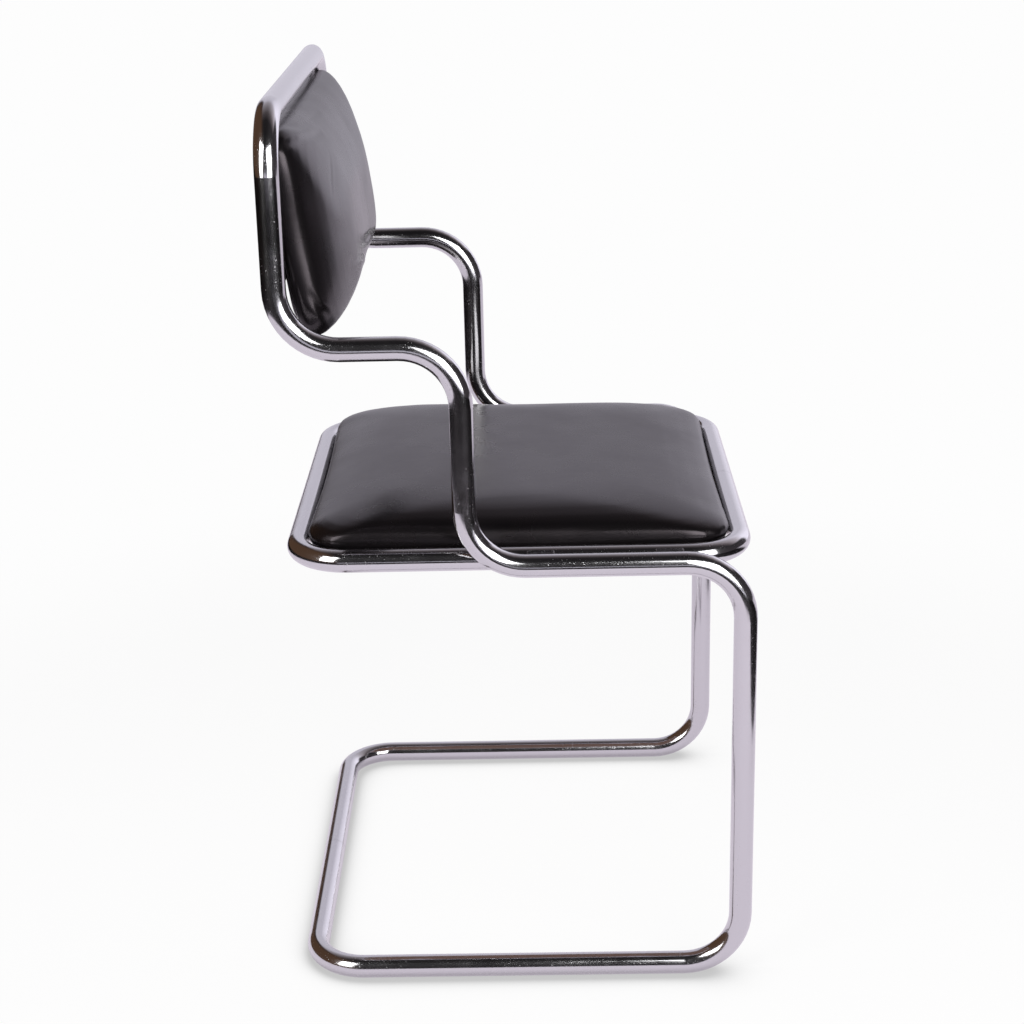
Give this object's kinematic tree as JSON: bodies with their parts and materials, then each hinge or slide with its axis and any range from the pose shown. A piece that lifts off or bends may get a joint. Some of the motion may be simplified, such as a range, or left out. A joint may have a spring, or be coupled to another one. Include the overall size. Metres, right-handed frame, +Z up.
{
  "type": "cantilever chair",
  "caption": "Cantilever armchair of bent chromed steel tube, with a crowned leather seat set in its own tube frame and a leaning leather back pad between the uprights.",
  "frame": {"origin": "on the floor, under the middle of the chair's box", "axes": "+Z up, the sitter faces -Y, +X is the chair's left hand side as the sitter has it; the chair is symmetrical about X = 0"},
  "size_m": [0.508, 0.4404, 0.852],
  "materials": {
    "chrome_plate": "bright chrome plate on drawn steel tube, with fine handling scratches",
    "plain_steel": "drawn steel, oiled",
    "zinc_plate": "bright zinc plate",
    "black_leather": "smooth black hide with a soft sheen and fine creases",
    "plywood": "bare birch plywood",
    "foam": "cut polyurethane foam",
    "dust_cloth": "brown woven bottoming cloth"
  },
  "bodies": {
    "root": {"frame_tube": "chrome_plate", "seat_frame_tube": "chrome_plate", "frame_joint_sleeve": "plain_steel", "seat_frame_joint_sleeve": "plain_steel", "frame_rivet_nuts": "zinc_plate", "frame_screws": "zinc_plate", "seat_board": "plywood", "seat_foam": "foam", "seat_cover": "black_leather", "seat_dust_cover": "dust_cloth", "seat_tee_nuts": "zinc_plate", "seat_washers": "zinc_plate", "seat_screws": "zinc_plate", "back_board": "plywood", "back_foam": "foam", "back_cover": "black_leather", "back_rear_panel": "black_leather", "back_tee_nuts": "zinc_plate", "back_washers": "zinc_plate", "back_screws": "zinc_plate", "seat_spacer_front_left": "chrome_plate", "seat_tab_front_left": "chrome_plate", "seat_spacer_rear_left": "chrome_plate", "seat_tab_rear_left": "chrome_plate", "back_tab_upper_left": "chrome_plate", "back_tab_lower_left": "chrome_plate", "seat_spacer_front_right": "chrome_plate", "seat_tab_front_right": "chrome_plate", "seat_spacer_rear_right": "chrome_plate", "seat_tab_rear_right": "chrome_plate", "back_tab_upper_right": "chrome_plate", "back_tab_lower_right": "chrome_plate"}
  },
  "joints": []
}
